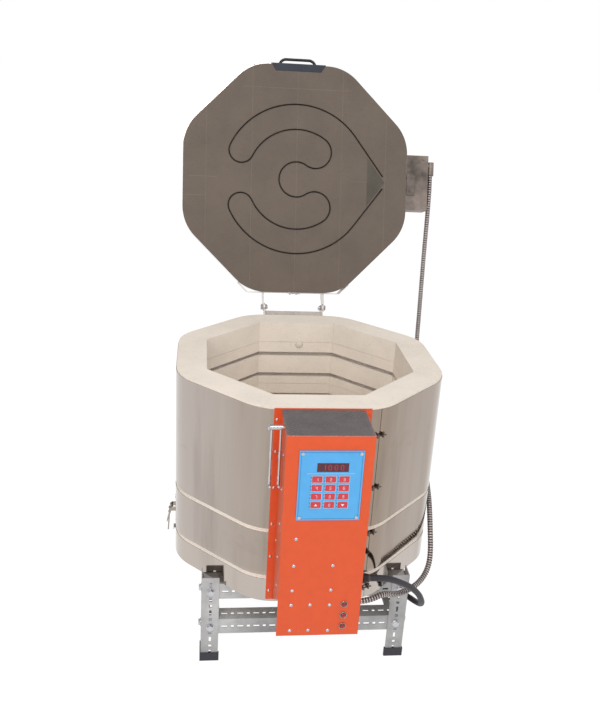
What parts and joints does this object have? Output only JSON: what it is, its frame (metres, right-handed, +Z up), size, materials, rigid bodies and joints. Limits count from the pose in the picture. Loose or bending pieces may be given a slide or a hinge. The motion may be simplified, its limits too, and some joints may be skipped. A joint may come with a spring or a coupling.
{
  "type": "electric kiln",
  "caption": "Top-loading octagonal electric kiln with a hinged lid open, front control box, draw latches and a slotted-angle stand.",
  "frame": {"origin": "on the floor under the centre of the octagonal body", "axes": "+Z up, +X to the right of someone facing the control box, +Y from the control box to the lid hinge"},
  "size_m": [0.6717, 0.9891, 1.2495],
  "materials": {
    "brick": "matte",
    "jacket": "polished",
    "clamp_steel": "satin",
    "element_wire": "oxidised",
    "porcelain": "glazed",
    "peephole_ceramic": "matte",
    "zinc_steel": "satin",
    "cement": "matte",
    "dark_blue_paint": "gloss",
    "black_grip": "satin",
    "galvanised": "satin",
    "orange_paint": "gloss",
    "grey_grille": "satin",
    "blue_plate": "satin",
    "display_dark": "gloss",
    "red_key": "satin",
    "board_green": "satin",
    "relay_case": "satin",
    "transformer_steel": "satin",
    "lamp_red": "gloss",
    "latch_chrome": "polished",
    "stand_paint": "satin",
    "foot_rubber": "matte",
    "conduit_metal": "satin",
    "cord_rubber": "matte"
  },
  "bodies": {
    "root": {"wall_bricks": "brick", "floor_slab": "brick", "section_jackets": "jacket", "jacket_clamps": "clamp_steel", "hinge_bolts": "clamp_steel", "hook_bolt": "clamp_steel", "panel_fasteners": "clamp_steel", "stand_bolts": "clamp_steel", "wall_elements": "element_wire", "element_terminals": "porcelain", "thermocouple": "porcelain", "hinge_bracket": "zinc_steel", "cable_fittings": "galvanised", "control_back_plate": "orange_paint", "control_side_panels": "orange_paint", "control_front_panel": "orange_paint", "control_bottom_plate": "orange_paint", "control_top_grille": "grey_grille", "faceplate": "blue_plate", "display_window": "display_dark", "controller_board": "board_green", "relays": "relay_case", "transformer": "transformer_steel", "pilot_lamps": "lamp_red", "side_latch_bases": "latch_chrome", "stand_legs": "stand_paint", "stand_top_rails": "stand_paint", "stand_braces": "stand_paint", "foot_caps": "foot_rubber", "lid_conduit": "conduit_metal", "power_cord": "cord_rubber", "power_cord_coil": "cord_rubber", "power_plug": "cord_rubber"},
    "lid": {"lid_slab": "brick", "lid_band": "jacket", "lid_element": "element_wire", "lid_lead_cement": "cement", "lid_handle_bracket": "dark_blue_paint", "lid_handle": "black_grip", "lid_hinge_strap": "zinc_steel", "lid_keeper": "zinc_steel", "lid_junction_box": "galvanised"},
    "lid_hooks": {"lid_hooks": "zinc_steel"},
    "left_latch_lever": {"left_latch_lever": "latch_chrome"},
    "left_latch_bail": {"left_latch_bail": "latch_chrome"},
    "right_latch_lever": {"right_latch_lever": "latch_chrome"},
    "right_latch_bail": {"right_latch_bail": "latch_chrome"},
    "peephole_plug": {"peephole_plug": "peephole_ceramic"},
    "key_01": {"key_01": "red_key"},
    "key_02": {"key_02": "red_key"},
    "key_03": {"key_03": "red_key"},
    "key_04": {"key_04": "red_key"},
    "key_05": {"key_05": "red_key"},
    "key_06": {"key_06": "red_key"},
    "key_07": {"key_07": "red_key"},
    "key_08": {"key_08": "red_key"},
    "key_09": {"key_09": "red_key"},
    "key_10": {"key_10": "red_key"},
    "key_11": {"key_11": "red_key"},
    "key_12": {"key_12": "red_key"}
  },
  "joints": [
    {"name": "lid_hinge", "type": "hinge", "parent": "root", "child": "lid", "pos_m": [0, 0.324, 0.648], "axis": [1, 0, 0], "range_deg": [0, 107]},
    {"name": "lid_hook_swing", "type": "hinge", "parent": "root", "child": "lid_hooks", "pos_m": [-0.095, -0.35, 0.63], "axis": [-1, 0, 0], "range_deg": [-25, 204]},
    {"name": "left_latch_lever_swing", "type": "hinge", "parent": "root", "child": "left_latch_lever", "pos_m": [-0.29675, -0.02, 0.268], "axis": [0, 1, 0], "range_deg": [0, 90]},
    {"name": "left_latch_bail_swing", "type": "hinge", "parent": "left_latch_lever", "child": "left_latch_bail", "pos_m": [-0.30075, -0.02, 0.261], "axis": [0, 1, 0], "range_deg": [0, 85]},
    {"name": "right_latch_lever_swing", "type": "hinge", "parent": "root", "child": "right_latch_lever", "pos_m": [0.29675, 0.025, 0.268], "axis": [0, -1, 0], "range_deg": [0, 90]},
    {"name": "right_latch_bail_swing", "type": "hinge", "parent": "right_latch_lever", "child": "right_latch_bail", "pos_m": [0.30075, 0.025, 0.261], "axis": [0, -1, 0], "range_deg": [0, 85]},
    {"name": "peephole_plug_slide", "type": "slide", "parent": "root", "child": "peephole_plug", "axis": [0, 1, 0], "range_m": [0, 0.08]},
    {"name": "key_01_press", "type": "slide", "parent": "root", "child": "key_01", "axis": [0, 1, 0], "range_m": [0, 0.0005], "stiffness_N_per_m": 800},
    {"name": "key_02_press", "type": "slide", "parent": "root", "child": "key_02", "axis": [0, 1, 0], "range_m": [0, 0.0005], "stiffness_N_per_m": 800},
    {"name": "key_03_press", "type": "slide", "parent": "root", "child": "key_03", "axis": [0, 1, 0], "range_m": [0, 0.0005], "stiffness_N_per_m": 800},
    {"name": "key_04_press", "type": "slide", "parent": "root", "child": "key_04", "axis": [0, 1, 0], "range_m": [0, 0.0005], "stiffness_N_per_m": 800},
    {"name": "key_05_press", "type": "slide", "parent": "root", "child": "key_05", "axis": [0, 1, 0], "range_m": [0, 0.0005], "stiffness_N_per_m": 800},
    {"name": "key_06_press", "type": "slide", "parent": "root", "child": "key_06", "axis": [0, 1, 0], "range_m": [0, 0.0005], "stiffness_N_per_m": 800},
    {"name": "key_07_press", "type": "slide", "parent": "root", "child": "key_07", "axis": [0, 1, 0], "range_m": [0, 0.0005], "stiffness_N_per_m": 800},
    {"name": "key_08_press", "type": "slide", "parent": "root", "child": "key_08", "axis": [0, 1, 0], "range_m": [0, 0.0005], "stiffness_N_per_m": 800},
    {"name": "key_09_press", "type": "slide", "parent": "root", "child": "key_09", "axis": [0, 1, 0], "range_m": [0, 0.0005], "stiffness_N_per_m": 800},
    {"name": "key_10_press", "type": "slide", "parent": "root", "child": "key_10", "axis": [0, 1, 0], "range_m": [0, 0.0005], "stiffness_N_per_m": 800},
    {"name": "key_11_press", "type": "slide", "parent": "root", "child": "key_11", "axis": [0, 1, 0], "range_m": [0, 0.0005], "stiffness_N_per_m": 800},
    {"name": "key_12_press", "type": "slide", "parent": "root", "child": "key_12", "axis": [0, 1, 0], "range_m": [0, 0.0005], "stiffness_N_per_m": 800}
  ]
}
